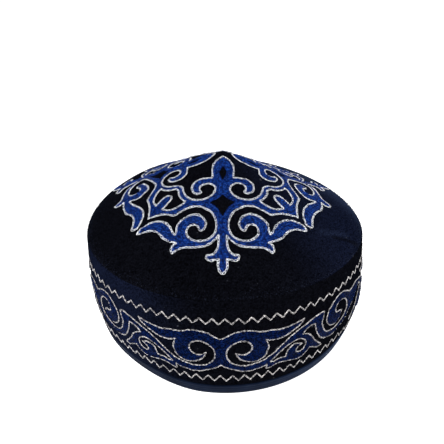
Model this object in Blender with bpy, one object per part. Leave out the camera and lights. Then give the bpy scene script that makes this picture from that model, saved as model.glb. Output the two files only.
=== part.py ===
"""A velvet skullcap: four crown gores, an upright side band and a folded hem binding.

Metres, +Z up. The cap stands on its hem, the origin is the middle of the hem on the floor, and the front
faces -Y. Azimuth is measured from the front towards +X.
"""

import math

import bmesh
import bpy
from mathutils import Vector

# Outline of the cap, measured on the outside of the cloth.
HEM_RADIUS = 0.0945
SEAM_RADIUS = 0.0935
BAND_HEIGHT = 0.0714
BAND_SWELL = 0.0030
CROWN_RISE = 0.0431

# Thickness of each cloth, and the gap between two that are sewn together.
BAND_WALL = 0.0030
CROWN_WALL = 0.0025
TAPE_THICKNESS = 0.0009
SEW_GAP = 0.0003

# The tape folded round the hem: height of its two legs, and how far the outer one stands proud.
TAPE_OUTER_LEG = 0.0090
TAPE_INNER_LEG = 0.0075
TAPE_PROUD = 0.0003

GORES = ("front", "right", "back", "left")
STEPS_PER_TURN = 72
BAND_ROWS = 8

# The swell of the band peaks below its middle, because the share of the height is raised to this power.
SWELL_POWER = 0.88

# Height of the crown above its seam, as a share of CROWN_RISE, at shares of the seam radius.
CROWN_OUTLINE = (
    # radius, height
    (1.00, 0.000),
    (0.96, 0.067),
    (0.87, 0.181),
    (0.70, 0.357),
    (0.45, 0.622),
    (0.20, 0.833),
    (0.00, 1.000),
)

# Where the soft cap has settled out of round. Place runs from 0 at the hem to 1 at the seam and 2 at the
# peak. Depth and reach are shares of SEAM_RADIUS, and a negative depth is a bulge.
DENTS = (
    # azimuth, place, depth, reach
    (115, 1.30, 0.065, 0.84),
    (-35, 0.00, 0.020, 0.49),
    (62, 0.35, -0.020, 0.34),
    (-143, 0.90, -0.037, 0.61),
)

# Below this share of BAND_HEIGHT a dent pushes straight inwards, and at the peak straight down.
LEAN_START = 0.8

VELVET = (0.006, 0.007, 0.014, 1.0)
NAVY_SATIN = (0.016, 0.024, 0.060, 1.0)


def clear_scene():
    for obj in list(bpy.data.objects):
        bpy.data.objects.remove(obj, do_unlink=True)


def smooth_step(share):
    share = min(max(share, 0.0), 1.0)
    return share * share * (3 - 2 * share)


def along_table(rows, position):
    """Value at a position along rows of (position, value), on a smooth curve through all of them."""
    rows = sorted(rows)
    index = 0
    while index < len(rows) - 2 and position > rows[index + 1][0]:
        index += 1

    def slope(at):
        low = rows[max(at - 1, 0)]
        high = rows[min(at + 1, len(rows) - 1)]
        return (high[1] - low[1]) / (high[0] - low[0])

    (start, first), (end, last) = rows[index], rows[index + 1]
    span = end - start
    t = (position - start) / span
    return (
        (2 * t**3 - 3 * t**2 + 1) * first
        + (t**3 - 2 * t**2 + t) * span * slope(index)
        + (3 * t**2 - 2 * t**3) * last
        + (t**3 - t**2) * span * slope(index + 1)
    )


def outline(place):
    """Radius and height on the outside of the cap, from the hem (0) to the seam (1) and the peak (2)."""
    if place <= 1:
        straight = HEM_RADIUS + (SEAM_RADIUS - HEM_RADIUS) * place
        swell = BAND_SWELL * math.sin(math.pi * max(place, 0.0) ** SWELL_POWER)
        return Vector((straight + swell, BAND_HEIGHT * place))
    share = 2 - place
    rise = CROWN_RISE * along_table(CROWN_OUTLINE, share)
    return Vector((SEAM_RADIUS * share, BAND_HEIGHT + rise))


def outward(place):
    """Unit normal of the outline: at the seam it halves the angle between band and crown."""
    step = 0.02
    along = outline(min(place + step, 2.0)) - outline(place)
    if place >= step:
        along = along.normalized() + (outline(place) - outline(place - step)).normalized()
    return Vector((along.y, -along.x)).normalized()


def wall(place, inset, lift=0.0):
    """A point of a wall's section: inset from the outline, and lifted along it."""
    normal = outward(place)
    along = Vector((-normal.y, normal.x))
    return outline(place) - normal * inset + along * lift


def settled(point):
    """The place of a point after the dents: they push the band inwards and the crown down."""
    radius = math.hypot(point.x, point.y)
    if radius == 0:
        inwards = Vector((0, 0, 0))
    else:
        inwards = Vector((-point.x / radius, -point.y / radius, 0))
    start = LEAN_START * BAND_HEIGHT
    lean = math.pi / 2 * smooth_step((point.z - start) / (BAND_HEIGHT + CROWN_RISE - start))
    push = inwards * math.cos(lean) + Vector((0, 0, -math.sin(lean)))
    total = 0.0
    for azimuth, place, depth, reach in DENTS:
        centre_radius, centre_height = outline(place)
        angle = math.radians(azimuth)
        centre = Vector((centre_radius * math.sin(angle), -centre_radius * math.cos(angle), centre_height))
        share = min((point - centre).length / (reach * SEAM_RADIUS), 1.0)
        total += depth * SEAM_RADIUS * (1 - share**2) ** 2
    return point + push * total


def material(name, colour, roughness):
    made = bpy.data.materials.new(name)
    made.use_nodes = True
    shader = made.node_tree.nodes["Principled BSDF"]
    shader.inputs["Base Color"].default_value = colour
    shader.inputs["Roughness"].default_value = roughness
    shader.inputs["Metallic"].default_value = 0.0
    return made


def spin(mesh, geometry, sweep):
    """Spins part of a mesh round Z, and joins its two ends if it goes all the way round."""
    full_turn = 2 * math.pi
    bmesh.ops.spin(
        mesh,
        geom=geometry,
        cent=(0, 0, 0),
        axis=(0, 0, 1),
        angle=sweep,
        steps=round(STEPS_PER_TURN * sweep / full_turn),
        use_merge=sweep == full_turn,
    )


def section_points(mesh, section, azimuth):
    """Vertices for the points of a section, which stands at this azimuth."""
    sideways = math.sin(azimuth)
    forwards = -math.cos(azimuth)
    return [mesh.verts.new((point.x * sideways, point.x * forwards, point.y)) for point in section]


def finish(mesh, name, cloth, away=Vector((0, 0, 0))):
    """Turns the faces outwards, moves the piece by away, settles it and puts it in the scene."""
    bmesh.ops.remove_doubles(mesh, verts=mesh.verts, dist=1e-6)
    for vertex in mesh.verts:
        vertex.co = settled(vertex.co + away)
    bmesh.ops.recalc_face_normals(mesh, faces=mesh.faces)
    data = bpy.data.meshes.new(name)
    mesh.to_mesh(data)
    mesh.free()
    data.shade_smooth()
    data.set_sharp_from_angle(angle=math.radians(35))
    data.materials.append(cloth)
    obj = bpy.data.objects.new(name, data)
    bpy.context.scene.collection.objects.link(obj)
    return obj


def ring(name, section, cloth):
    """A closed ring of cloth, spun from the loop through its section."""
    mesh = bmesh.new()
    points = section_points(mesh, section, 0)
    loop = [mesh.edges.new(pair) for pair in zip(points, points[1:] + points[:1])]
    spin(mesh, points + loop, 2 * math.pi)
    return finish(mesh, name, cloth)


def crown_gore(name, middle, velvet):
    """A quarter of the crown, moved out along its middle so that its sides keep the sewing gap."""
    places = sorted(2 - radius for radius, height in CROWN_OUTLINE)
    places += [(low + high) / 2 for low, high in zip(places[2:], places[3:])]
    places.sort()
    lifts = [SEW_GAP if place == 1 else 0 for place in places]
    outer = [wall(place, 0, lift) for place, lift in zip(places, lifts)]
    inner = [wall(place, CROWN_WALL, lift) for place, lift in zip(places, lifts)]
    outer[-1] = outline(2)
    inner[-1] = outline(2) - Vector((0, CROWN_WALL / outward(2).y))

    sweep = 2 * math.pi / len(GORES)
    mesh = bmesh.new()
    outer = section_points(mesh, outer, middle - sweep / 2)
    inner = section_points(mesh, inner, middle - sweep / 2)
    corners = zip(outer, outer[1:], inner[1:], inner)
    faces = [mesh.faces.new(quad) for quad in corners]
    spin(mesh, list(mesh.verts) + list(mesh.edges) + faces, sweep)
    away = Vector((math.sin(middle), -math.cos(middle), 0)) * SEW_GAP / 2 / math.sin(sweep / 2)
    return finish(mesh, name, velvet, away)


def side_band(velvet):
    """The upright wall. Under the tape it is pinched, so that the tape lies almost flush with it."""
    pinch = TAPE_THICKNESS - TAPE_PROUD + SEW_GAP
    foot = (TAPE_THICKNESS + SEW_GAP) / BAND_HEIGHT
    ledge = (TAPE_OUTER_LEG + SEW_GAP) / BAND_HEIGHT
    rows = [ledge + (1 - ledge) * row / BAND_ROWS for row in range(BAND_ROWS + 1)]
    outer = [wall(foot, pinch), wall(ledge, pinch)] + [wall(row, 0) for row in rows]
    inner = [wall(foot, BAND_WALL)] + [wall(row, BAND_WALL) for row in rows]
    return ring("side_band", outer + inner[::-1], velvet)


def hem_binding(satin):
    """Tape folded round the bottom edge of the band. Its fold lies flat on the floor."""
    outer_leg = TAPE_OUTER_LEG / BAND_HEIGHT
    inner_leg = TAPE_INNER_LEG / BAND_HEIGHT
    fold = TAPE_THICKNESS / BAND_HEIGHT
    front = -TAPE_PROUD
    back = BAND_WALL + SEW_GAP + TAPE_THICKNESS
    outline_rows = (0.0, fold, outer_leg / 2, outer_leg)
    section = [wall(row, front) for row in outline_rows]
    section += [wall(row, front + TAPE_THICKNESS) for row in (outer_leg, outer_leg / 2, fold)]
    section += [wall(row, back - TAPE_THICKNESS) for row in (fold, inner_leg)]
    section += [wall(row, back) for row in (inner_leg, fold, 0.0)]
    for point in section:
        point.y = max(point.y, 0.0)
    section[0].y = 0.0
    section[-1].y = 0.0
    return ring("hem_binding", section, satin)


def main():
    clear_scene()
    velvet = material("velvet", VELVET, 0.9)
    satin = material("navy_satin", NAVY_SATIN, 0.45)
    for index, side in enumerate(GORES):
        crown_gore(f"crown_{side}", 2 * math.pi * index / len(GORES), velvet)
    side_band(velvet)
    hem_binding(satin)


main()
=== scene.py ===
"""Looks of the velvet skullcap: pile, chain-stitch scrollwork, zigzag lines and a folded satin tape.

Every surface is laid over the outline of the CAD part, so its named sizes are repeated here. Metres, +Z up,
front at -Y, azimuth measured from the front towards +X. The ornament is drawn in millimetres: on the crown
in plan, and on the band as (way round, height). Sizes of stitches are in millimetres too.
"""

import math

import bpy
import numpy as np
from mathutils import Matrix, Vector
from mathutils.geometry import delaunay_2d_cdt
from mathutils.kdtree import KDTree


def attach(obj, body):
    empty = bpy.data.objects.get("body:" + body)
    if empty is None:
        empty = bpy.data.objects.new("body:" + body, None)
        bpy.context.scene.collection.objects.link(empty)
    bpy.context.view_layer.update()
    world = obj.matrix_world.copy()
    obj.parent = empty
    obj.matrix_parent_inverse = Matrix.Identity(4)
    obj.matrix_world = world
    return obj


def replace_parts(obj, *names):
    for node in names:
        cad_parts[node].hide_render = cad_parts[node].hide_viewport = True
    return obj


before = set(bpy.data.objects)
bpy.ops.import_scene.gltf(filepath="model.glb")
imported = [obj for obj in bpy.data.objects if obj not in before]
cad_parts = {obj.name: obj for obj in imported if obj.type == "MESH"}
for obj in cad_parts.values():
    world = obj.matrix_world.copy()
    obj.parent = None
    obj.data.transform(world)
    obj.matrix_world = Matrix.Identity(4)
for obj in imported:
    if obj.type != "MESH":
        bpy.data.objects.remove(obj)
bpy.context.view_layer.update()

MM = 0.001
SIDES = ("front", "right", "back", "left")
rng = np.random.default_rng(7)

# Sizes of the CAD part, in metres.
HEM_RADIUS = 0.0945
SEAM_RADIUS = 0.0935
BAND_HEIGHT = 0.0714
BAND_SWELL = 0.0030
SWELL_POWER = 0.88
CROWN_RISE = 0.0431
BAND_WALL = 0.0030
CROWN_WALL = 0.0025
LEAN_START = 0.8
CROWN_OUTLINE = (
    # share of the radius, share of the rise
    (0.00, 1.000), (0.20, 0.833), (0.45, 0.622), (0.70, 0.357), (0.87, 0.181), (0.96, 0.067), (1.00, 0.000),
)
DENTS = (
    # azimuth, place, depth, reach
    (115, 1.30, 0.065, 0.84),
    (-35, 0.00, 0.020, 0.49),
    (62, 0.35, -0.020, 0.34),
    (-143, 0.90, -0.037, 0.61),
)

# The way round the band is measured on this radius.
ROUND_RADIUS = 0.0960
TURN = 2 * math.pi * ROUND_RADIUS / MM

# The padded edge of the crown stands a little fuller than the CAD outline, and most so at the sides.
FRONT_SHOULDER = 0.0006
SIDE_SHOULDER = 0.0020
SHOULDER_RISE = (0.70, 0.90)
SHOULDER_FALL = (0.93, 1.00)

# The gores dip a little towards the seams between them, and less so close to the peak.
VALLEY_DEPTH = 0.0002
VALLEY_WIDTH = 0.0018
VALLEY_START = 0.02

# A crease in the right of the crown, in plan metres.
CREASE_START = (0.0570, -0.0517)
CREASE_END = (0.0770, -0.0474)
CREASE_DEPTH = 0.0009
CREASE_WIDTH = 0.0018

# Cloth rolls down to a seam: the depth at the seam and how far the roll reaches, in millimetres.
ROLL_DEPTH = 0.55
ROLL_REACH = 0.9

# The gap between two gores as an angle, and the pinch of the band at the top of the tape, in millimetres.
GORE_GAP = 0.0001
PINCH = 0.9
TAPE_TOP = 9.0


# Surfaces of the cap

def smooth_step(value, start, end):
    share = np.clip((value - start) / (end - start), 0, 1)
    return share * share * (3 - 2 * share)


def hermite(t, start, first, end, last):
    """Values at shares t of the way from start to end. first and last are the slopes there."""
    return (
        (2 * t**3 - 3 * t**2 + 1) * start
        + (t**3 - 2 * t**2 + t) * first
        + (3 * t**2 - 2 * t**3) * end
        + (t**3 - t**2) * last
    )


def along_table(rows, position):
    """Values at an array of positions, on a smooth curve through rows of (position, value)."""
    at = np.array([row[0] for row in rows])
    value = np.array([row[1] for row in rows])
    low = np.maximum(np.arange(len(at)) - 1, 0)
    high = np.minimum(np.arange(len(at)) + 1, len(at) - 1)
    slope = (value[high] - value[low]) / (at[high] - at[low])
    index = np.clip(np.searchsorted(at, position, side="left") - 1, 0, len(at) - 2)
    span = at[index + 1] - at[index]
    t = (position - at[index]) / span
    return hermite(t, value[index], span * slope[index], value[index + 1], span * slope[index + 1])


def outline(place):
    """Radius and height on the outside of the cap, from the hem (0) to the seam (1) and the peak (2)."""
    place = np.asarray(place, float)
    low = np.clip(place, 0.0, 1.0)
    share = 2 - np.clip(place, 1.0, 2.0)
    straight = HEM_RADIUS + (SEAM_RADIUS - HEM_RADIUS) * low
    swell = BAND_SWELL * np.sin(math.pi * low**SWELL_POWER)
    rise = CROWN_RISE * along_table(CROWN_OUTLINE, share)
    radius = np.where(place <= 1, straight + swell, SEAM_RADIUS * share)
    height = np.where(place <= 1, BAND_HEIGHT * place, BAND_HEIGHT + rise)
    return radius, height


def settled(points):
    """The place of points after the dents, as in the CAD part."""
    radius = np.maximum(np.hypot(points[..., 0], points[..., 1]), 1e-9)
    lean = math.pi / 2 * smooth_step(points[..., 2], LEAN_START * BAND_HEIGHT, BAND_HEIGHT + CROWN_RISE)
    total = np.zeros(radius.shape)
    for azimuth, place, depth, reach in DENTS:
        centre_radius, centre_height = outline(place)
        angle = math.radians(azimuth)
        centre = (centre_radius * math.sin(angle), -centre_radius * math.cos(angle), float(centre_height))
        distance = np.linalg.norm(points - np.array(centre), axis=-1)
        total += depth * SEAM_RADIUS * (1 - np.minimum(distance / (reach * SEAM_RADIUS), 1) ** 2) ** 2
    inwards = -points[..., :2] / radius[..., None] * np.cos(lean)[..., None]
    push = np.concatenate([inwards, -np.sin(lean)[..., None]], -1)
    return points + push * total[..., None]


def crease(x, y):
    """Depth of the crease at plan places."""
    reach = np.subtract(CREASE_END, CREASE_START)
    length = np.hypot(*reach)
    ahead = ((x - CREASE_START[0]) * reach[0] + (y - CREASE_START[1]) * reach[1]) / length**2
    aside = ((x - CREASE_START[0]) * reach[1] - (y - CREASE_START[1]) * reach[0]) / length
    fade = smooth_step(ahead, -0.1, 0.3) * (1 - smooth_step(ahead, 0.8, 1.1))
    return CREASE_DEPTH * fade * np.exp(-((aside / CREASE_WIDTH) ** 2))


def valley(x, y):
    """Depth of the valleys along the gore seams, which lie on the diagonals of the plan."""
    off_seam = np.abs(np.abs(x) - np.abs(y)) / math.sqrt(2)
    fade = np.clip(np.hypot(x, y) / VALLEY_START, 0, 1)
    return VALLEY_DEPTH * fade * np.exp(-((off_seam / VALLEY_WIDTH) ** 2))


def shoulder(x, y):
    """Height by which the padded edge stands proud of the CAD outline."""
    radius = np.hypot(x, y)
    share = radius / SEAM_RADIUS
    sideways = (x / np.maximum(radius, 1e-9)) ** 2
    most = FRONT_SHOULDER + (SIDE_SHOULDER - FRONT_SHOULDER) * sideways
    return most * smooth_step(share, *SHOULDER_RISE) * (1 - smooth_step(share, *SHOULDER_FALL))


def crown(x, y):
    """Points of the crown over plan places in metres."""
    share = np.minimum(np.hypot(x, y) / SEAM_RADIUS, 1.0)
    height = outline(2 - share)[1] - valley(x, y) + shoulder(x, y) - crease(x, y)
    return settled(np.stack([x, y, height], -1))


def band(around, height):
    """Points of the band at (way round, height) in metres."""
    radius = outline(height / BAND_HEIGHT)[0]
    azimuth = around / ROUND_RADIUS
    return settled(np.stack([radius * np.sin(azimuth), -radius * np.cos(azimuth), height], -1))


def unit(vectors):
    return vectors / np.maximum(np.linalg.norm(vectors, axis=-1, keepdims=True), 1e-12)


def outwards(surface, a, b):
    """Unit normals of a surface."""
    step = 0.0004
    across = surface(a + step, b) - surface(a - step, b)
    along = surface(a, b + step) - surface(a, b - step)
    return unit(np.cross(across, along))


def laid(surface, plan, lift):
    """Drapes plan points in millimetres over a surface, lifted by lift millimetres."""
    a = plan[..., 0] * MM
    b = plan[..., 1] * MM
    return surface(a, b) + outwards(surface, a, b) * (np.asarray(lift) * MM)[..., None]


# Meshes

def new_object(name, data):
    made = bpy.data.objects.new(name, data)
    bpy.context.scene.collection.objects.link(made)
    return made


def mesh_object(name, points, faces, material):
    """A piece from arrays of points and of faces, which all have the same number of corners."""
    points = np.asarray(points, float).reshape(-1, 3)
    faces = np.asarray(faces, int)
    corners = faces.shape[1]
    data = bpy.data.meshes.new(name)
    data.vertices.add(len(points))
    data.vertices.foreach_set("co", points.ravel())
    data.loops.add(faces.size)
    data.loops.foreach_set("vertex_index", faces.ravel())
    data.polygons.add(len(faces))
    data.polygons.foreach_set("loop_start", np.arange(len(faces)) * corners)
    data.update(calc_edges=True)
    data.validate()
    data.shade_smooth()
    data.materials.append(material)
    obj = new_object(name, data)
    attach(obj, "root")
    return obj


def grid_faces(rows, columns, wrap_rows=False, wrap_columns=False):
    """Quads of a grid of rows x columns points."""
    r = np.arange(rows if wrap_rows else rows - 1)
    c = np.arange(columns if wrap_columns else columns - 1)
    r, c = np.meshgrid(r, c, indexing="ij")
    r, c = r.ravel(), c.ravel()
    r2, c2 = (r + 1) % rows, (c + 1) % columns
    return np.stack([r * columns + c, r * columns + c2, r2 * columns + c2, r2 * columns + c], -1)


def tubes(centres, normals, radius, sides, closed):
    """Thread round many short centre-lines at once: centres is (threads, points, 3)."""
    count, steps = centres.shape[:2]
    if closed:
        tangent = np.roll(centres, -1, 1) - np.roll(centres, 1, 1)
    else:
        tangent = np.gradient(centres, axis=1)
    tangent = unit(tangent)
    side = unit(np.cross(tangent, normals))
    up = np.cross(side, tangent)
    turn = (np.arange(sides) + 0.5) * 2 * math.pi / sides
    ring = centres[:, :, None] + radius * (
        side[:, :, None] * np.cos(turn)[:, None] + up[:, :, None] * np.sin(turn)[:, None]
    )
    faces = grid_faces(steps, sides, wrap_rows=closed, wrap_columns=True)
    offsets = np.arange(count)[:, None, None] * steps * sides
    return ring.reshape(-1, 3), (faces[None] + offsets).reshape(-1, 4)


# Drawing the ornament

KINK = 1


def spline(points, closed):
    """A smooth curve through points, densely sampled. Centripetal, so that it doesn't loop."""
    points = np.asarray(points, float)
    if closed:
        ring = np.vstack([points[-1], points, points[0], points[1]])
    else:
        ring = np.vstack([2 * points[0] - points[1], points, 2 * points[-1] - points[-2]])
    gap = np.maximum(lengths(ring), 1e-6)[:, None] ** 0.5
    step = np.diff(ring, axis=0)
    slope = step[:-1] / gap[:-1] - (step[:-1] + step[1:]) / (gap[:-1] + gap[1:]) + step[1:] / gap[1:]
    start, end = ring[1:-2], ring[2:-1]
    first, last = slope[:-1] * gap[1:-1], slope[1:] * gap[1:-1]
    t = np.linspace(0, 1, 16, endpoint=False)[None, :, None]
    curve = hermite(t, start[:, None], first[:, None], end[:, None], last[:, None])
    return np.vstack([curve.reshape(-1, 2), end[-1]])


def lengths(curve):
    """Lengths between the points of a curve."""
    return np.linalg.norm(np.diff(curve, axis=0), axis=1)


def distances(curve):
    """How far along a curve each of its points is."""
    return np.concatenate([[0], np.cumsum(lengths(curve))])


def places_at(curve, gone, at):
    """Places on a curve at distances along it. gone is the distance of each of its points."""
    return np.stack([np.interp(at, gone, curve[:, axis]) for axis in (0, 1)], -1)


def resampled(curve, step):
    """The curve at an even pitch close to step, its ends kept."""
    gone = distances(curve)
    count = max(int(round(gone[-1] / step)), 1)
    return places_at(curve, gone, np.linspace(0, gone[-1], count + 1))


def strokes(points, closed):
    """Splits points at their corners, and returns each smooth stroke as a dense curve."""
    corners = [index for index, point in enumerate(points) if len(point) == 3]
    places = [point[:2] for point in points]
    if closed and not corners:
        return [resampled(spline(places, True), 0.2)]
    if closed:
        places = places[corners[0]:] + places[: corners[0] + 1]
        cuts = [index - corners[0] for index in corners] + [len(places) - 1]
    else:
        cuts = sorted({0, len(places) - 1, *corners})
    parts = [places[start : end + 1] for start, end in zip(cuts, cuts[1:])]
    return [resampled(spline(part, False), 0.2) for part in parts]


def turned(points, quarter):
    """Plan points turned by quarters of a turn."""
    for turn in range(quarter):
        points = [(-point[1], point[0], *point[2:]) for point in points]
    return points


def over_diagonal(points):
    return [(-point[1], -point[0], *point[2:]) for point in points][::-1]


def mirrored(points, middle=0):
    """Points mirrored over an upright line, and in the other order."""
    return [(2 * middle - point[0], *point[1:]) for point in points][::-1]


def shifted(points, shift):
    return [(point[0] + shift, *point[1:]) for point in points]


# The crown's ornament, from the front axis to the diagonal. It repeats eight times.
INNER_SCROLL = [
    (0, -5.4), (2, -6.5), (3.8, -8.25), (5.4, -10.4), (6.35, -13.4), (6.7, -16.3), (6.6, -19.1),
    (6.35, -22), (6.35, -23.2, KINK), (10.6, -23.1), (13.4, -23), (15.6, -23.8), (17.2, -25.4),
    (18.1, -27), (18.4, -29.1), (18.1, -31.3), (17.2, -33.1), (15.6, -34.3), (14.1, -34.9),
    (12.4, -34, KINK), (13.25, -32.7), (13.8, -30.6), (13.1, -29), (11.6, -27.9), (9.9, -27.5),
    (7.7, -27.9), (5.9, -29), (4.7, -30.6), (4.3, -32.4), (4.7, -34.3), (5.75, -36.1), (7.4, -37.7),
    (9.5, -38.8), (12, -39.3), (14.9, -39.2), (17, -38.6), (18.8, -37.5), (20.4, -36.1),
    (21.8, -34.3), (22.8, -32.4), (23.6, -30.2), (24.1, -27.6), (25.5, -25.5, KINK),
]
EYE = [(0, -13.8, KINK), (2.1, -18), (1.9, -21), (0, -25.5, KINK)]
DIAMOND = [(0, -36.5, KINK), (3.3, -39.6), (7.3, -41.5, KINK), (3.3, -45.3), (0, -51, KINK)]
POCKET = [
    (27.5, -27.5, KINK), (26.6, -28.8), (26.4, -30.9), (25.75, -33.4), (24.5, -35.5), (23, -37.6),
    (21.5, -38.5, KINK), (22.4, -39.7), (24.5, -40.9), (26.6, -41.8), (29, -42.3), (31, -42.2),
    (33, -41.4), (35.5, -39.9, KINK), (33.1, -37.6), (31.5, -35.6), (30.6, -33.7), (30.7, -32.4),
    (31.3, -31.3),
]
OUTER_SCROLL = [
    (0, -82.9), (1.7, -81.3), (2.35, -79.3), (2.35, -77.4), (2.1, -75.5, KINK), (4.1, -75.7),
    (6.1, -76.1), (7.8, -75.4), (8.5, -73.9), (7.9, -73), (6.1, -73), (4.6, -72.2), (3.3, -70.4),
    (2.5, -68.1), (2.3, -65.9), (2.2, -63.7), (2.15, -62, KINK), (3.8, -64.1), (5.3, -65.4),
    (7.5, -66.9), (10.1, -67.8), (13, -68), (16.4, -67.9), (19.7, -67.6), (22.3, -67.9),
    (24.3, -68.9), (26.2, -70.1, KINK), (27.3, -68.5), (27, -66.7), (26.2, -65.2),
    (24.5, -64.3, KINK), (26.7, -63.3), (29, -62.4), (30.8, -61.3), (32.7, -59.8), (33.8, -58.1),
    (35.3, -56.3), (37.1, -54.6), (39.3, -53.4), (41.2, -52.6), (43.7, -52.4), (46.2, -52.4),
    (48.3, -52, KINK), (47, -49), (44.9, -48), (42.8, -47.4), (40.3, -47.2), (37.8, -47.6),
    (35.3, -48.4), (33.3, -49.7), (31.2, -51.3), (29.5, -53.4), (28.3, -55.5), (27.2, -57.6),
    (25.8, -59.3, KINK), (25.3, -56.8), (25.4, -55.1), (24.7, -53), (23.3, -51.3), (21.2, -49.9),
    (18.5, -48.8), (16, -48.5), (13.8, -49.1), (11.6, -50.4), (10.3, -51.9), (9.3, -53.7),
    (9.1, -55.6), (9.7, -57.4), (10.8, -58.7, KINK), (12.3, -58.5), (12.9, -56.9), (14.1, -55.4),
    (16, -54.8), (17.9, -55), (19.1, -56.3), (19.6, -58.1), (19.4, -60), (18.2, -61.7),
    (16.4, -63.3), (14.1, -64.3), (11.6, -64.6), (9, -64.3), (6.7, -63.3), (4.9, -61.7),
    (3.8, -59.6), (3.4, -57.4), (3.4, -55.6), (3.6, -53.7), (4.5, -51.1), (5.6, -48.9), (7.5, -47),
    (9.7, -45.6), (12.3, -44.1), (15.3, -43.4), (18.2, -43.4), (20.8, -44.1), (23, -45),
    (25.3, -46), (27.2, -46.8, KINK), (29.3, -46.1), (31.6, -45), (34.5, -44.1), (37.1, -43.7),
    (39.3, -43.5), (42, -43.3), (43.5, -43.5, KINK),
]

# The band's ornament as (way round, height). MOTIF_AXIS is the middle of the front motif.
MOTIF_AXIS = -1.1
SECTION = TURN / 4
SCROLL_TOP = [
    (-1.1, 48, KINK), (1, 48.8), (4.5, 51.3), (8, 52.4), (12, 52.9), (16, 52.3), (20, 51), (25, 50.9),
    (30, 50.1), (36, 50.4), (41, 51.2), (44.8, 52, KINK), (43.5, 50.2), (41.5, 48.6), (37.5, 46.6),
    (33, 44.5), (29.5, 43.9), (25.5, 44.2), (22.6, 45.3, KINK), (23.6, 42.5), (24.2, 40), (23.6, 37),
    (22.5, 34), (20.5, 31.8), (17.5, 30.4), (14.5, 30.6), (11.5, 31.5), (9, 33.3), (7.5, 35.7),
    (6.7, 38, KINK), (9.5, 36.5), (12, 36.6), (14, 38), (15.3, 40.5), (15, 43), (13, 45.3),
    (10, 46.2), (7.5, 45.6), (5, 44), (2.8, 41.5), (2, 38.5), (2.2, 35), (3.5, 32), (5.8, 29.6),
    (9, 28.2), (13, 27.7), (17, 28.4), (20.5, 29.6), (24, 31.6), (28, 35), (32, 39), (36, 42.4),
    (40, 44.8), (45, 46.9), (50, 49), (54, 50), (57.5, 50.2), (59.2, 49.7, KINK),
]
SPIRAL_TOP = [
    (58.5, 45.5), (57.7, 42.5), (58.8, 39), (60.4, 35.5), (63, 32.8), (66, 31.3), (70, 30.8),
    (75, 31.8), (79.5, 34), (82, 38), (82, 42), (80.5, 45.5), (78, 48), (74.5, 49.3), (71, 48.8),
    (69.5, 47), (69.3, 44), (71, 42.3), (74, 41.7), (76.3, 40.5, KINK), (74.3, 36.5), (71, 34.3),
    (67.5, 34.8), (64.3, 37), (62.3, 40), (61.8, 44), (62.3, 47), (64.5, 50), (67.5, 52.5),
    (71, 54.2), (75, 54.2), (79.5, 52.5), (83, 50.2), (84.8, 49, KINK),
]
SCROLL_FOOT = [
    (-1.1, 29, KINK), (1, 27.4), (4, 25.6), (7, 24.6), (9.5, 23.3), (12.5, 23), (15.5, 22.9),
    (18, 23.8), (21, 24.5), (23.8, 26, KINK), (23.6, 22.4, KINK), (26, 22.8), (28.5, 24.3),
    (32, 25), (36, 24.2), (40, 23.2), (45, 23.1), (47.5, 25), (50.3, 28.1, KINK), (53.5, 26),
    (56.5, 24), (59.8, 24, KINK), (58.5, 26), (56, 28.7), (53, 32.5), (51, 36.3), (48, 39.5),
    (44.3, 41.3, KINK), (46.5, 43.8), (49.5, 45), (52.4, 44.9, KINK),
]
SPIRAL_FOOT = [
    (53, 42), (53.8, 39), (55.3, 35.5), (57.5, 31.8), (60.5, 29), (64, 27.3), (68, 26.4), (71, 26.2),
    (74.5, 27.9), (78.5, 28.6), (82, 31), (86, 35.5), (89.9, 39.3), (93.4, 42.6),
]
LEAF_HOLE = [
    (25.5, 27.8, KINK), (30, 32.7), (34, 36.3), (38, 38.3), (41.7, 38.9), (44.6, 37.6),
    (46.5, 35.3), (46.9, 32.5), (45.5, 29.5), (43.2, 28.2), (41, 29.6), (40.8, 31.5), (42.3, 33.2),
    (44.3, 34.2, KINK), (41.5, 35.8), (38.5, 35.8), (36, 34), (35, 31), (34.7, 28.5, KINK),
    (31, 28.7), (27.5, 27.3),
]


def whole_ring(piece):
    """A ring round the crown from its eighth, which runs from the front axis to the diagonal."""
    quarter = piece + over_diagonal(piece)[1:]
    ring = []
    for step in range(4):
        ring += turned(quarter, step)[:-1]
    return ring


def along_band(scroll, spiral):
    """One edge of the band's ornament all the way round. Every other section is mirrored."""
    scroll, spiral = shifted(scroll, -MOTIF_AXIS), shifted(spiral, -MOTIF_AXIS)
    section = scroll + spiral + mirrored(scroll, SECTION / 2)
    line = []
    for index in range(4):
        piece = mirrored(section, SECTION / 2) if index % 2 else section
        line += shifted(piece, index * SECTION)[: -1 if index < 3 else None]
    return shifted(line, MOTIF_AXIS)


def leaf_holes():
    """The eight holes between stem and leaf, one each side of the four motifs."""
    hole = shifted(LEAF_HOLE, -MOTIF_AXIS)
    made = []
    for index in range(4):
        for piece in (hole, mirrored(hole)):
            turns = index * SECTION if piece[0][0] > 0 or index else TURN
            made.append(shifted(piece, turns + MOTIF_AXIS))
    return made


# The side motifs don't quite repeat the front one: they are swept back by degrees and pulled in by
# millimetres, growing over these azimuths and radii.
SWEPT = (
    # side, sweep, azimuths, radii, pull
    (1, 12, (48, 84), (20, 34), 2.0),
    (1, 8, (73, 90), (45, 60), -6.5),
    (1, -6, (70, 92), (60, 84), 3.0),
    (-1, 6, (60, 68), (45, 60), 1.1),
    (-1, 12, (72, 98), (40, 58), -3.0),
    (-1, -5, (72, 90), (64, 78), 0.0),
)
SWEEP_END = (98, 177)

# Smaller strays of the sewn lines from the even drawing, in plan millimetres.
STRAYS = (
    # place, shift, reach
    ((0, -76), (0.5, 0.3), 16),
    ((73, -20), (-1.0, -3.0), 6.5),
    ((-73, -22), (0.3, -1.6), 6.5),
    ((51, -49.5), (-1.3, -0.2), 6),
    ((-50, -50), (-0.4, -1.5), 8),
)


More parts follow.
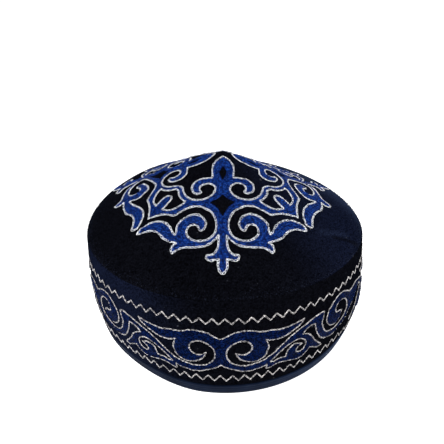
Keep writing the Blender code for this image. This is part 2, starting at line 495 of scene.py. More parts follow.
def swept(curve):
    """A plan curve of the crown, with its parts on the side gores and the strays moved."""
    x, y = curve[:, 0], curve[:, 1]
    radius = np.hypot(x, y)
    azimuth = np.degrees(np.arctan2(np.abs(x), -y))
    turn = np.zeros(len(curve))
    pull = np.zeros(len(curve))
    for side, most, grows, radii, inwards in SWEPT:
        share = smooth_step(azimuth, *grows) * (1 - smooth_step(azimuth, *SWEEP_END))
        share = np.where(x * side > 0, share * smooth_step(radius, *radii), 0)
        turn += most * share
        pull += inwards * share
    azimuth = np.radians(azimuth + turn)
    side = np.where(x < 0, -1, 1)
    radius = radius - pull
    moved = np.stack([side * radius * np.sin(azimuth), -radius * np.cos(azimuth)], -1)
    for place, shift, reach in STRAYS:
        near = np.exp(-((np.linalg.norm(moved - place, axis=1) / reach) ** 2))
        moved = moved + near[:, None] * shift
    return moved


def crown_line(points):
    return [swept(stroke) for stroke in strokes(points, True)]


crown_lines = [crown_line(whole_ring(INNER_SCROLL)), crown_line(whole_ring(OUTER_SCROLL))]
pocket = POCKET + over_diagonal(POCKET)[1:-1]
crown_lines += [crown_line(turned(pocket, step)) for step in range(4)]
bare_lines = []
for shape in (EYE, DIAMOND):
    closed_shape = shape + mirrored(shape)[1:-1]
    bare_lines += [crown_line(turned(closed_shape, step)) for step in range(4)]

band_top = strokes(along_band(SCROLL_TOP, SPIRAL_TOP), False)
band_foot = strokes(along_band(SCROLL_FOOT, SPIRAL_FOOT), False)
band_lines = [band_top, band_foot]
band_holes = [strokes(hole, True) for hole in leaf_holes()]


def loop_of(line):
    """The strokes of a line as one polygon, without the end of its last stroke."""
    return np.vstack([stroke[:-1] for stroke in line])


# Materials

def node_material(name):
    made = bpy.data.materials.new(name)
    made.use_nodes = True
    tree = made.node_tree
    shader = tree.nodes["Principled BSDF"]
    return made, tree, shader


def set_inputs(node, values):
    for name, value in values.items():
        node.inputs[name].default_value = value


def object_place(tree):
    return tree.nodes.new("ShaderNodeTexCoord").outputs["Object"]


def noise(tree, scale, detail):
    """Noise fixed to the object, and its output."""
    texture = tree.nodes.new("ShaderNodeTexNoise")
    set_inputs(texture, {"Scale": scale, "Detail": detail})
    tree.links.new(object_place(tree), texture.inputs["Vector"])
    return texture.outputs["Fac"]


def ramp(tree, value, stops, colours):
    """Colour ramp over a value, with a colour at each stop, and its output."""
    node = tree.nodes.new("ShaderNodeValToRGB")
    elements = node.color_ramp.elements
    while len(elements) < len(stops):
        elements.new(0.5)
    for element, stop, colour in zip(elements, stops, colours):
        element.position = stop
        element.color = (*colour, 1.0)
    tree.links.new(value, node.inputs["Fac"])
    return node.outputs["Color"]


def bump(tree, shader, height, distance, strength):
    node = tree.nodes.new("ShaderNodeBump")
    set_inputs(node, {"Distance": distance, "Strength": strength})
    tree.links.new(height, node.inputs["Height"])
    tree.links.new(node.outputs["Normal"], shader.inputs["Normal"])


def math_node(tree, operation, first, second=0.0, third=0.0):
    """A Math node over links or numbers, and its output."""
    node = tree.nodes.new("ShaderNodeMath")
    node.operation = operation
    for socket, value in zip(node.inputs, (first, second, third)):
        if isinstance(value, (int, float)):
            socket.default_value = value
        else:
            tree.links.new(value, socket)
    return node.outputs["Value"]


def smooth_range(tree, value, start, end):
    """A value that goes smoothly from 0 at start to 1 at end."""
    node = tree.nodes.new("ShaderNodeMapRange")
    node.interpolation_type = "SMOOTHERSTEP"
    set_inputs(node, {"From Min": start, "From Max": end})
    tree.links.new(value, node.inputs["Value"])
    return node.outputs["Result"]


def along(tree, direction, start=0.0):
    """How far the place shaded lies along a direction, less start."""
    dot = tree.nodes.new("ShaderNodeVectorMath")
    dot.operation = "DOT_PRODUCT"
    dot.inputs[1].default_value = direction
    tree.links.new(object_place(tree), dot.inputs[0])
    return math_node(tree, "SUBTRACT", dot.outputs["Value"], start)


def beside_crease(tree, middle, reach, first, last):
    """A strip beside the crease, 0 to 1, where painted highlight and painted shade go.

    middle and reach are in metres across it, first and last are shares of its length.
    """
    way = Vector(CREASE_END) - Vector(CREASE_START)
    length = way.length
    way.normalize()
    across = Vector((way.y, -way.x))
    start = Vector(CREASE_START)
    ahead = along(tree, (way.x, way.y, 0), way.dot(start))
    aside = along(tree, (across.x, across.y, 0), across.dot(start) + middle)
    off = math_node(tree, "ABSOLUTE", aside)
    near = smooth_range(tree, off, reach, 0.0)
    fade_in = smooth_range(tree, ahead, (first - CREASE_FADE) * length, first * length)
    fade_out = smooth_range(tree, ahead, (last + CREASE_FADE) * length, last * length)
    return math_node(tree, "MULTIPLY", math_node(tree, "MULTIPLY", near, fade_in), fade_out)


def mixed(tree, share, first, second):
    """A colour that goes from the first to the second as share goes from 0 to 1."""
    node = tree.nodes.new("ShaderNodeMix")
    node.data_type = "RGBA"
    tree.links.new(share, node.inputs["Factor"])
    tree.links.new(first, node.inputs["A"])
    tree.links.new(second, node.inputs["B"])
    return node.outputs["Result"]


def painted_sheen_share(tree, lean, start, end, wander):
    """Share of painted sheen, 0 to 1, growing along a direction in metres, with a wavy edge."""
    wave = math_node(tree, "MULTIPLY_ADD", noise(tree, *NAP_WAVES), wander, -wander / 2)
    reach = math_node(tree, "ADD", along(tree, lean), wave)
    return smooth_range(tree, reach, start, end)


def velvet(name, sheen, nap, lit=None):
    """Cotton velvet. nap is the direction, start, end and wander of its painted sheen, from black to navy.

    lit is the same for a lighter painted sheen, and goes with the painted highlight and shade by the crease
    of the crown.
    """
    made, tree, shader = node_material(name)
    pile = noise(tree, *PILE)
    light = math_node(tree, "MULTIPLY_ADD", pile, PILE_WEIGHT, -PILE_WEIGHT / 2)
    light = math_node(tree, "MULTIPLY_ADD", noise(tree, *TUFTS), TUFT_WEIGHT, light)
    light = math_node(tree, "MULTIPLY_ADD", noise(tree, *PATCHES), PATCH_WEIGHT, light)

    def shaded(tones):
        return ramp(tree, light, PILE_STOPS, tones)

    black = shaded(BLACK_PILE)
    # The navy tone is painted sheen, growing along the direction given by nap.
    tone = mixed(tree, painted_sheen_share(tree, *nap), black, shaded(NAVY_SHEEN_PILE))
    if lit:
        # A lighter painted sheen, then a painted highlight and a painted shade beside the crease.
        sheen_tone = shaded(PALE_SHEEN_PILE)
        tone = mixed(tree, painted_sheen_share(tree, *lit), tone, sheen_tone)
        painted_highlight = math_node(tree, "MULTIPLY", beside_crease(tree, *CREASE_HIGHLIGHT), CREASE_HIGHLIGHT_TONE)
        tone = mixed(tree, painted_highlight, tone, sheen_tone)
        # fold is painted shade on the darker side of the crease.
        fold = math_node(tree, "MULTIPLY", beside_crease(tree, *CREASE_SHADE), CREASE_SHADE_TONE)
        tone = mixed(tree, fold, tone, black)
    specks = ramp(tree, noise(tree, *SPECKS), SPECK_STOPS, ((0, 0, 0), (1, 1, 1)))
    lint = tree.nodes.new("ShaderNodeRGB")
    lint.outputs["Color"].default_value = (*LINT, 1.0)
    tone = mixed(tree, specks, tone, lint.outputs["Color"])
    tree.links.new(tone, shader.inputs["Base Color"])
    set_inputs(shader, {
        "Roughness": 0.9, "Specular IOR Level": 0.0, "Sheen Weight": sheen, "Sheen Roughness": 0.2,
        "Sheen Tint": (0.32, 0.45, 0.85, 1.0),
    })
    bump(tree, shader, pile, 0.0004, 0.8)
    return made


def thread(name, colours, roughness, specular):
    """Twisted thread. The three colours are its darkest, usual and brightest tones."""
    made, tree, shader = node_material(name)
    fibre = noise(tree, *FIBRE)
    light = math_node(tree, "MULTIPLY_ADD", noise(tree, *LOOPS), LOOP_WEIGHT, -LOOP_WEIGHT / 2)
    light = math_node(tree, "MULTIPLY_ADD", fibre, FIBRE_WEIGHT, light)
    tone = ramp(tree, light, THREAD_STOPS, colours)
    tree.links.new(tone, shader.inputs["Base Color"])
    set_inputs(shader, {"Roughness": roughness, "Specular IOR Level": specular})
    bump(tree, shader, fibre, 0.0001, 0.7)
    return made


def satin(name):
    """Satin tape, with painted sheen that makes it lighter towards the right side of the cap."""
    made, tree, shader = node_material(name)
    soft = noise(tree, *SATIN_CLOUDS)
    usual = ramp(tree, soft, SATIN_STOPS, SATIN)
    sheen_tone = ramp(tree, soft, SATIN_STOPS, PALE_SHEEN_SATIN)
    # The lighter tone towards +X is painted sheen.
    tone = mixed(tree, painted_sheen_share(tree, (1, 0, 0), 0.020, 0.085, 0.02), usual, sheen_tone)
    tree.links.new(tone, shader.inputs["Base Color"])
    set_inputs(shader, {
        "Roughness": 0.6, "Specular IOR Level": 0.01, "Sheen Weight": 0.03, "Sheen Roughness": 0.3,
        "Sheen Tint": (0.40, 0.60, 1.0, 1.0),
    })
    bump(tree, shader, noise(tree, *SATIN_WEAVE), 0.0001, 0.5)
    return made


# Scale and detail of each noise, and the stops of each ramp.
PILE = (1350.0, 1.0)
TUFTS = (480.0, 2.0)
PATCHES = (28.0, 3.0)
PILE_STOPS = (0.12, 0.90)
NAP_WAVES = (22.0, 4.0)
SPECKS = (330.0, 1.0)
SPECK_STOPS = (0.765, 0.80)
FIBRE = (2600.0, 2.0)
LOOPS = (900.0, 1.0)
THREAD_STOPS = (0.10, 0.40, 0.72)
SATIN_CLOUDS = (60.0, 3.0)
SATIN_WEAVE = (1500.0, 2.0)
SATIN_STOPS = (0.3, 0.7)

# How strongly each noise changes the tone.
PILE_WEIGHT = 1.6
TUFT_WEIGHT = 0.5
PATCH_WEIGHT = 0.3
LOOP_WEIGHT = 2.2
FIBRE_WEIGHT = 0.8

# Painted highlight and painted shade beside the crease: middle, reach, first and last, and how strong each
# is.
CREASE_HIGHLIGHT = (-0.0018, 0.0042, 0.0, 0.7)
CREASE_HIGHLIGHT_TONE = 0.22
CREASE_SHADE = (0.0010, 0.0028, 0.35, 1.0)
CREASE_SHADE_TONE = 0.7
CREASE_FADE = 0.25

# Darkest and lightest tone of each cloth. The navy and the lightest pile, and the lighter satin, are
# painted sheen.
LINT = (0.035, 0.038, 0.048)
BLACK_PILE = ((0.0005, 0.0005, 0.0008), (0.0046, 0.0050, 0.0080))
NAVY_SHEEN_PILE = ((0.0012, 0.0018, 0.0050), (0.0084, 0.0118, 0.0300))
PALE_SHEEN_PILE = ((0.0070, 0.0105, 0.0240), (0.0270, 0.0390, 0.0840))
SATIN = ((0.0033, 0.0057, 0.0140), (0.0064, 0.0112, 0.0270))
PALE_SHEEN_SATIN = ((0.0095, 0.0165, 0.0380), (0.0170, 0.0300, 0.0700))

# Darkest, usual and brightest tone of each thread; the ground's blues are darkened as painted shade.
HAIR = ((0.005, 0.006, 0.012), (0.014, 0.017, 0.034), (0.032, 0.038, 0.065))
SHADED_BLUE = ((0.0003, 0.003, 0.028), (0.0008, 0.011, 0.085), (0.0035, 0.028, 0.175))
BAND_SHADED_BLUE = ((0.0002, 0.0015, 0.011), (0.0005, 0.004, 0.028), (0.0012, 0.009, 0.058))
ROYAL_BLUE = ((0.0003, 0.004, 0.035), (0.0018, 0.019, 0.135), (0.0130, 0.070, 0.380))
BAND_BLUE = ((0.0003, 0.0016, 0.010), (0.0013, 0.0056, 0.034), (0.0038, 0.0180, 0.104))
SILVER = ((0.20, 0.21, 0.25), (0.94, 0.97, 1.0), (1.0, 1.0, 1.0))
WARM_SILVER = ((0.09, 0.085, 0.09), (0.54, 0.515, 0.52), (0.97, 0.93, 0.91))

# Direction, start, end and wander of the painted sheen that changes the velvet's tone.
CROWN_NAVY_SHEEN = ((0.9, 0.4, 0), -0.018, 0.050, 0.03)
CROWN_PALE_SHEEN = ((0.85, 0.53, 0), 0.050, 0.080, 0.014)
BAND_NAVY_SHEEN = ((-0.9, -0.1, 0), 0.008, 0.070, 0.03)

velvet_crown = velvet("velvet_crown", 0.035, CROWN_NAVY_SHEEN, CROWN_PALE_SHEEN)
velvet_side = velvet("velvet_side", 0.010, BAND_NAVY_SHEEN)
velvet_hair = thread("velvet_hair", HAIR, 0.9, 0.0)
satin_tape = satin("navy_satin")
blue_under_shade = thread("blue_under_shade", SHADED_BLUE, 0.7, 0.05)
blue_under_band_shade = thread("blue_under_band_shade", BAND_SHADED_BLUE, 0.7, 0.015)
blue_rayon = thread("blue_rayon", ROYAL_BLUE, 0.4, 0.06)
blue_rayon_band = thread("blue_rayon_band", BAND_BLUE, 0.4, 0.015)
silver_twist = thread("silver_twist", SILVER, 0.45, 0.4)
silver_warm = thread("silver_warm", WARM_SILVER, 0.45, 0.3)


# Cloth

def rolled(distance):
    """Lift of cloth that rolls down to a seam, at distances from it in millimetres."""
    return -ROLL_DEPTH * np.exp(-((distance / ROLL_REACH) ** 2))


def crown_gore(index, name):
    """A quarter of the crown: outside, rolled edges and inside, as one closed sheet of velvet."""
    middle = index * math.pi / 2
    half = math.pi / 4 - GORE_GAP / 2
    share = np.concatenate([np.linspace(0.004, 0.93, 44), np.linspace(0.94, 1.0, 10)])
    azimuth = middle + np.linspace(-half, half, 91)
    share, azimuth = np.meshgrid(share, azimuth, indexing="ij")
    plan = np.stack([np.sin(azimuth), -np.cos(azimuth)], -1) * (share * SEAM_RADIUS / MM)[..., None]
    outer = laid(crown, plan, rolled((1 - share) * SEAM_RADIUS / MM))
    inner = laid(crown, plan, -CROWN_WALL / MM)
    points = np.concatenate([outer.reshape(-1, 3), inner.reshape(-1, 3)])
    count = share.size
    grid = np.arange(count).reshape(share.shape)
    border = np.concatenate([grid[0], grid[1:, -1], grid[-1, -2::-1], grid[-2:0:-1, 0]])
    following = np.roll(border, -1)
    walls = np.stack([border, following, following + count, border + count], -1)
    faces = grid_faces(*share.shape)
    faces = np.concatenate([faces[:, ::-1], faces + count, walls[:, ::-1]])
    gore = mesh_object(f"velvet_crown_{name}", points, faces, velvet_crown)
    gore.data.set_sharp_from_angle(angle=math.radians(50))
    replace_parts(gore, f"crown_{name}")


def ring_piece(name, section, material, node):
    """A closed ring of cloth. section holds the points of each section, as (sections, points, 3)."""
    faces = grid_faces(*section.shape[:2], wrap_rows=True, wrap_columns=True)
    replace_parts(mesh_object(name, section, faces, material), node)


def band_rows(around, heights, lift):
    """Points of the band at each way round and each height, lifted by lift millimetres."""
    return laid(band, np.stack(np.meshgrid(around, heights, indexing="ij"), -1), lift)


def pinched(height):
    """Lift of the band's outside: rolled down to the seam, and pinched under the tape."""
    return rolled(BAND_HEIGHT / MM - height) - PINCH * np.exp(-(((height - TAPE_TOP) / 0.5) ** 2))


def velvet_band():
    around = np.linspace(0, TURN, 288, endpoint=False)
    heights = np.concatenate([[9.3, 9.6, 10.2], np.linspace(11, 69, 42), np.linspace(69.6, 71.3, 6)])
    outer = band_rows(around, heights, pinched(heights))
    foot = band_rows(around, (9.3, 1.3), -1.0)
    inner = band_rows(around, np.linspace(1.3, 71.0, 12), -BAND_WALL / MM)
    section = np.concatenate([outer[:, ::-1], foot, inner], axis=1)
    ring_piece("velvet_band", section, velvet_side, "side_band")


def satin_binding():
    """The tape folded round the hem, with two sunk stitch lines and soft puckers."""
    height, lift = np.array(TAPE_SECTION).T
    around = np.linspace(0, TURN, 432, endpoint=False)
    turn = around * 2 * math.pi / TURN
    pucker = np.sin(PUCKERS[0] * turn) + 0.7 * np.sin(PUCKERS[1] * turn + 1.3)
    near = np.exp(-(((height - PUCKER_HEIGHT) / PUCKER_REACH) ** 2)) * (lift > 0)
    section = band_rows(around, height, lift + PUCKER_LIFT * pucker[:, None] * near)
    section[..., 2] -= section[..., 2].min()
    ring_piece("satin_binding", section, satin_tape, "hem_binding")


# The tape's section from its outer top edge round the fold to its inner one, in millimetres.
TAPE_SECTION = (
    # height, lift
    (8.9, -0.45), (8.95, 0.1), (8.7, 0.30), (8.2, 0.34), (7.6, 0.30), (7.2, 0.12), (6.6, 0.30),
    (6.0, 0.34), (5.4, 0.30), (4.9, 0.12), (4.4, 0.30), (3.6, 0.36), (2.6, 0.36), (1.7, 0.30),
    (1.0, 0.15), (0.5, -0.15), (0.15, -0.6), (0.0, -1.4), (0.0, -3.0), (0.15, -3.6), (0.6, -4.05),
    (2.0, -4.2), (5.0, -4.2), (7.2, -4.2), (7.5, -4.1), (7.5, -3.4),
)

# Puckers in a turn, in two sizes, and their height, place and reach up the tape.
PUCKERS = (170, 97)
PUCKER_LIFT = 0.035
PUCKER_HEIGHT = 6.0
PUCKER_REACH = 2.6

for index, side in enumerate(SIDES):
    crown_gore(index, side)
velvet_band()
satin_binding()


# Thread

def link_shape(steps, length, width):
    """Centre-line of one chain link as (along, across, head): a teardrop, narrow at its root."""
    turn = np.arange(steps) * 2 * math.pi / steps
    head = (1 - np.cos(turn)) / 2
    across = width / 2 * np.sin(turn) * (ROOT_WIDTH + (HEAD_WIDTH - ROOT_WIDTH) * head)
    return length * head, across, head


def left_of(tangent):
    return np.stack([-tangent[..., 1], tangent[..., 0]], -1)


def along_curve(curve, distance):
    """Points and unit normals (to the left) of a curve at distances, which may run past its ends."""
    gone = distances(curve)
    within = np.clip(distance, 0, gone[-1])
    place = places_at(curve, gone, within)
    ahead = np.clip(within + 0.25, 0, gone[-1])
    behind = np.clip(within - 0.25, 0, gone[-1])
    tangent = unit(places_at(curve, gone, ahead) - places_at(curve, gone, behind))
    return place + tangent * (distance - within)[..., None], left_of(tangent)


def chain(curve, steps, jitter, pitch, length, width, base, rise):
    """Plan points and lifts of the links along a curve, as (links, steps, 2) and (links, steps)."""
    total = lengths(curve).sum()
    count = max(int(round(total / pitch)), 1)
    pitch = total / count
    along, across, head = link_shape(steps, length, width)
    size = 1 + jitter * rng.standard_normal((count, 1))
    start = (np.arange(count) * pitch)[:, None]
    start = start + jitter * START_JITTER * rng.standard_normal((count, 1))
    swing = jitter * SWING_JITTER * rng.standard_normal((count, 1))
    distance = start + along * size - ROOT_TUCK
    place, normal = along_curve(curve, distance)
    width = size * (1 + jitter * rng.standard_normal((count, 1)))
    offset = across * width + swing * along / length
    lift = base + rise * head + LIFT_JITTER * rng.standard_normal((count, 1))
    return place + normal * offset[..., None], np.broadcast_to(lift, distance.shape)


def threads(name, surface, links, radius, sides, material, slot):
    """One piece of closed links, draped over a surface."""
    plan = np.concatenate([link[0] for link in links])
    lift = np.concatenate([link[1] for link in links])
    a, b = plan[..., 0] * MM, plan[..., 1] * MM
    normals = outwards(surface, a, b)
    centres = surface(a, b) + normals * (lift * MM)[..., None]
    points, faces = tubes(centres, normals, radius * MM, sides, True)
    mesh_object(name, points, faces, material)


# Sizes of a chain link, and the radius of its thread.
CROWN_LINK = {"pitch": 1.7, "length": 1.95, "width": 0.98, "base": 0.13, "rise": 0.14}
BAND_LINK = {"pitch": 1.6, "length": 1.85, "width": 0.65, "base": 0.11, "rise": 0.12}
FILL_LINK = {"pitch": 1.6, "length": 2.05, "width": 0.80, "base": 0.40, "rise": 0.22}
CROWN_THREAD = 0.132
BAND_THREAD = 0.10
FILL_THREAD = 0.18

# How far a link's root lies under the link before it, and the widths of root and head as shares of its own.
ROOT_TUCK = 0.2
ROOT_WIDTH = 0.45
HEAD_WIDTH = 1.2

# How much the links differ: in place and direction as shares of their jitter, in height in millimetres.
START_JITTER = 0.6
SWING_JITTER = 0.8
LIFT_JITTER = 0.06


def quarter_of(surface, middle):
    """The side of the cap, 0 to 3, on which each plan point lies."""
    if surface is crown:
        turns = np.arctan2(middle[:, 0], -middle[:, 1]) / (2 * math.pi)
    else:
        turns = middle[:, 0] / TURN
    return np.floor(4 * turns + 0.5).astype(int) % 4


def four_pieces(name, surface, links, *look):
    """The links as one piece for each side of the cap, so that none gets too large."""
    groups = [[] for side in SIDES]
    for plan, lift in links:
        quarter = quarter_of(surface, plan.mean(axis=1))
        for index, group in enumerate(groups):
            chosen = quarter == index
            if chosen.any():
                group.append((plan[chosen], lift[chosen]))
    for side, group in zip(SIDES, groups):
        threads(f"{name}_{side}", surface, group, *look)


silver_crown = [chain(stroke, 12, 0.12, **CROWN_LINK) for line in crown_lines for stroke in line]
four_pieces("silver_crown", crown, silver_crown, CROWN_THREAD, 4, silver_twist, "silver_thread")

silver_band = [chain(stroke, 10, 0.12, **BAND_LINK) for line in band_lines + band_holes for stroke in line]
four_pieces("silver_band", band, silver_band, BAND_THREAD, 4, silver_warm, "silver_thread")

ZIGZAG_TEETH = 91


def zigzag(first_peak, high, low):
    """The chain of a zigzag line round the band."""
    step = np.arange(2 * ZIGZAG_TEETH + 1)
    at = first_peak + TURN / ZIGZAG_TEETH * step / 2
    corners = np.stack([at, np.where(step % 2 == 0, high, low)], -1)
    edges = [resampled(corners[index : index + 2], 0.2) for index in step[:-1]]
    return [chain(edge, 10, 0.08, **BAND_LINK) for edge in edges]


upper = zigzag(1.6, 60.9, 57.5)
lower = zigzag(5.0, 19.7, 14.7)
for name, group in (("zigzag_upper", upper), ("zigzag_lower", lower)):
    threads(name, band, group, BAND_THREAD, 4, silver_warm, "silver_thread")


def seam_fringe():
    """Longer pile that stands out of the crown's edge. Each hair is rooted in the velvet."""
    azimuth = rng.uniform(0, 2 * math.pi, FRINGE_HAIRS)
    reach = rng.uniform(*HAIR_REACH, FRINGE_HAIRS)
    lean = rng.normal(0, HAIR_LEAN, FRINGE_HAIRS)
    rise = rng.uniform(*HAIR_RISE, FRINGE_HAIRS)
    outer = np.stack([np.sin(azimuth), -np.cos(azimuth), np.zeros(FRINGE_HAIRS)], -1)
    along = np.stack([np.cos(azimuth), np.sin(azimuth), np.zeros(FRINGE_HAIRS)], -1)
    inset = FRINGE_START + np.abs(rng.normal(0, FRINGE_WIDTH, FRINGE_HAIRS))
    radius = SEAM_RADIUS - inset * MM
    root = crown(radius * outer[:, 0], radius * outer[:, 1]) - (0, 0, HAIR_ROOT * MM)
    way = unit(outer + along * lean[:, None] + (0, 0, 1) * rise[:, None])
    steps = np.linspace(0, 1, 3)[None, :, None]
    droop = (0, 0, -HAIR_DROOP) * steps**2
    centres = root[:, None] + (way[:, None] * steps + droop) * (reach * MM)[:, None, None]
    normals = np.broadcast_to(along[:, None] + 0.01, centres.shape)
    points, faces = tubes(centres, normals, HAIR_RADIUS * MM, 3, False)
    mesh_object("velvet_fringe", points, faces, velvet_hair)


# Where the hairs start inside the seam, and how far they spread from there.
FRINGE_HAIRS = 4000
FRINGE_START = 0.4
FRINGE_WIDTH = 2.2

# A hair's thickness, least and most reach, and depth of its root. The rest are shares of its reach.
HAIR_RADIUS = 0.05
HAIR_REACH = (0.4, 1.1)
HAIR_ROOT = 0.3
HAIR_LEAN = 0.5
HAIR_RISE = (0.1, 1.1)
HAIR_DROOP = 0.25

seam_fringe()


# Filling

def closed_line(loop):
    return np.vstack([loop, loop[:1]])


def inside(points, loops):
    """Whether points are inside an odd number of the loops."""
    count = np.zeros(len(points), int)
    for loop in loops:
        loop = resampled(closed_line(loop), 0.6)
        for start, end in zip(loop[:-1], loop[1:]):
            if start[1] == end[1]:
                continue
            spans = (points[:, 1] >= min(start[1], end[1])) & (points[:, 1] < max(start[1], end[1]))
            cross = start[0] + (points[:, 1] - start[1]) * (end[0] - start[0]) / (end[1] - start[1])
            count += spans & (points[:, 0] < cross)
    return count % 2 == 1


def tree_of(points):
    tree = KDTree(len(points))
    for index, point in enumerate(points):
        tree.insert((*point, 0), index)
    tree.balance()
    return tree


def nearest(tree, points):
    """Distance of each point from the nearest point in the tree."""
    return np.array([tree.find((*point, 0))[2] for point in points])


def fill_ground(name, surface, loops, material):
    """The low ground of thread inside the outer loop and outside the others, highest in its middle."""
    verts = []
    edges = []
    for loop in loops:
        loop = resampled(closed_line(loop), 0.8)[:-1]
        start = len(verts)
        verts += [Vector(point) for point in loop]
        edges += [(start + i, start + (i + 1) % len(loop)) for i in range(len(loop))]
    tree = tree_of(verts)
    low, high = np.min(verts, axis=0), np.max(verts, axis=0)
    for row, y in enumerate(np.arange(low[1], high[1], GROUND_ROWS)):
        for x in np.arange(low[0] + (row % 2) * GROUND_PITCH / 2, high[0], GROUND_PITCH):
            if tree.find((x, y, 0))[2] > GROUND_PITCH / 2:
                verts.append(Vector((x, y)))
    made = delaunay_2d_cdt(verts, edges, [], 0, 1e-5)
    plan = np.array(made[0])
    faces = np.array(made[2])
    faces = faces[inside(plan[faces].mean(axis=1), loops)]
    lift = 0.05 + 0.30 * np.minimum(nearest(tree, plan) / GROUND_PITCH, 1.0) ** 0.7
    points = laid(surface, plan, lift)
    used, renumbered = np.unique(faces, return_inverse=True)
    mesh_object(name, points[used], renumbered.reshape(faces.shape), material)


def fill_rows(loops, lines, around):
    """Curves that follow the lines round a filled shape inwards, row by row, as long as there is room.

    The loops say what is inside. around is the way round after which the shape meets itself, or 0.
    """
    edges = [resampled(line, 0.3) for line in lines]
    everything = np.vstack([edge + (shift, 0) for edge in edges for shift in {-around, 0, around}])
    tree = tree_of(everything)
    inward = []
    for edge in edges:
        normal = left_of(unit(np.gradient(edge, axis=0)))
        within = inside(edge + 0.4 * normal, loops).mean() > 0.5
        inward.append(normal if within else -normal)
    rows = []
    distance = FILL_FIRST
    while True:
        found = len(rows)
        for edge, normal in zip(edges, inward):
            place = edge + normal * distance
            clear = nearest(tree, place) > distance - ROW_SLACK
            jump = np.linalg.norm(np.diff(place, axis=0, append=place[-1:]), axis=1) > ROW_JUMP
            start = 0
            for end in [*np.flatnonzero(~clear | jump) + 1, len(place)]:
                run = place[start:end][clear[start:end]]
                start = end
                if len(run) >= LEAST_RUN:
                    rows.append(run)
        distance += FILL_PITCH
        if len(rows) == found:
            return rows


def thinned(links, room):
    """Drops the links of later rows that would lie on earlier ones."""
    cells = {}
    kept = []
    for plan, lift in links:
        middle = plan.mean(axis=1)
        free = []
        for x, y in middle:
            column, row = int(x // room), int(y // room)
            around = [(column + c, row + r) for c in (-1, 0, 1) for r in (-1, 0, 1)]
            near = [other for cell in around for other in cells.get(cell, [])]
            free.append(all((x - a) ** 2 + (y - b) ** 2 > room**2 for a, b in near))
        free = np.array(free)
        for x, y in middle[free]:
            cells.setdefault((int(x // room), int(y // room)), []).append((x, y))
        if free.any():
            kept.append((plan[free], lift[free]))
    return kept


def fill_stitches(name, surface, loops, lines, material, around=0):
    """Rows of blue chain stitch that fill a shape."""
    rows = [row for row in fill_rows(loops, lines, around) if lengths(row).sum() > SHORTEST_ROW]
    links = [chain(row, 8, 0.10, **FILL_LINK) for row in rows]
    four_pieces(name, surface, thinned(links, FILL_ROOM), FILL_THREAD, 3, material, "blue_thread")


# Rows of filling: distance of the first from the outline, pitch, least room for a link and least length.
FILL_FIRST = 1.25
FILL_PITCH = 1.15
FILL_ROOM = 0.66 * FILL_PITCH
SHORTEST_ROW = 1.2

# A row may come this much nearer to an outline than its own distance. It breaks where it jumps this far,
# and its runs have at least this many points.
ROW_SLACK = 0.12
ROW_JUMP = 1.0
LEAST_RUN = 5

# Pitch of the points of the ground, and of their rows.
GROUND_PITCH = 1.5
GROUND_ROWS = 0.87 * GROUND_PITCH

crown_borders = [crown_lines[1], crown_lines[0]] + crown_lines[2:] + bare_lines
crown_loops = [loop_of(line) for line in crown_borders]
# The ground is blue thread, darkened as painted shade between the stitches.
fill_ground("blue_ground_crown", crown, crown_loops, blue_under_shade)
crown_edges = [closed_line(loop) for loop in crown_loops]
fill_stitches("blue_crown", crown, crown_loops, crown_edges, blue_rayon)

top_edge = np.vstack([loop_of(band_top), band_top[-1][-1:]])
foot_edge = np.vstack([loop_of(band_foot), band_foot[-1][-1:]])[::-1]
band_loops = [np.vstack([top_edge, foot_edge])] + [loop_of(hole) for hole in band_holes]
# This ground too is darkened as painted shade between the stitches.
fill_ground("blue_ground_band", band, band_loops, blue_under_band_shade)
band_edges = [top_edge, foot_edge] + [closed_line(loop) for loop in band_loops[1:]]
fill_stitches("blue_band", band, band_loops, band_edges, blue_rayon_band, TURN)


# Camera, light and floor

CAMERA_AIM = Vector((-0.00185, 0.0, 0.0605))
CAMERA_DISTANCE = 0.2518
CAMERA_AZIMUTH = math.radians(1.75)
CAMERA_ELEVATION = math.radians(30.48)
CAMERA_ROLL = math.radians(-1.25)
CAMERA_LENS = 27.92


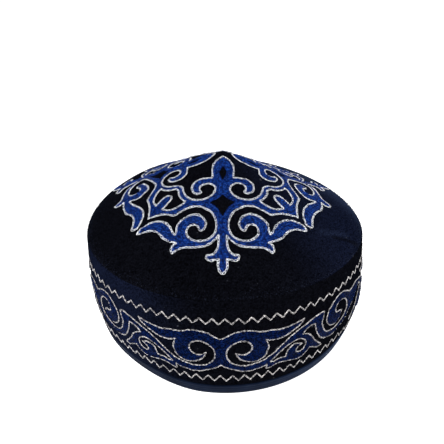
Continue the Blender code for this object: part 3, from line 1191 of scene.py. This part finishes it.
def camera():
    data = bpy.data.cameras.new("camera")
    data.lens = CAMERA_LENS
    data.sensor_width = 36.0
    data.clip_start = 0.01
    made = new_object("camera", data)
    turn = Matrix.Rotation(CAMERA_AZIMUTH, 4, "Z")
    turn @= Matrix.Rotation(math.pi / 2 - CAMERA_ELEVATION, 4, "X")
    turn @= Matrix.Rotation(CAMERA_ROLL, 4, "Z")
    made.matrix_world = Matrix.Translation(CAMERA_AIM) @ turn @ Matrix.Translation((0, 0, CAMERA_DISTANCE))
    bpy.context.scene.camera = made


def area_light(name, place, aim, size, power):
    data = bpy.data.lights.new(name, "AREA")
    data.shape = "DISK"
    data.size = size
    data.energy = power
    made = new_object(name, data)
    made.location = place
    made.rotation_mode = "QUATERNION"
    made.rotation_quaternion = (Vector(aim) - Vector(place)).to_track_quat("-Z", "Y")


def glowing(name, colour, strength):
    """A matt material of one grey that also gives off white light."""
    made, tree, shader = node_material(name)
    set_inputs(shader, {
        "Base Color": (colour, colour, colour, 1), "Roughness": 0.9, "Specular IOR Level": 0.0,
        "Emission Color": (1, 1, 1, 1), "Emission Strength": strength,
    })
    return made


def stage():
    """A white floor, a white dome that only the camera sees, the world and two lights."""
    bpy.ops.mesh.primitive_circle_add(vertices=96, radius=3.0, fill_type="NGON", location=(0, 0, -0.0002))
    floor = bpy.context.object
    floor.name = "floor"
    floor.data.materials.append(glowing("floor_white", 0.9, 0.80))
    bpy.ops.mesh.primitive_uv_sphere_add(segments=48, ring_count=24, radius=2.9)
    dome = bpy.context.object
    dome.name = "backdrop"
    dome.data.materials.append(glowing("backdrop_white", 0.0, 1.1))
    dome.visible_diffuse = False
    dome.visible_glossy = False
    dome.visible_transmission = False
    dome.visible_shadow = False
    world = bpy.data.worlds.new("studio")
    world.use_nodes = True
    background = world.node_tree.nodes["Background"]
    set_inputs(background, {"Color": (1, 1, 1, 1), "Strength": 0.35})
    bpy.context.scene.world = world
    area_light("key", (-0.25, -0.40, 0.70), (0, 0, 0.05), 0.35, 6.3)
    area_light("fill", (0.55, 0.05, 0.50), (0, 0, 0.05), 0.4, 2.5)
    bpy.context.scene.view_settings.view_transform = "Standard"


camera()
stage()
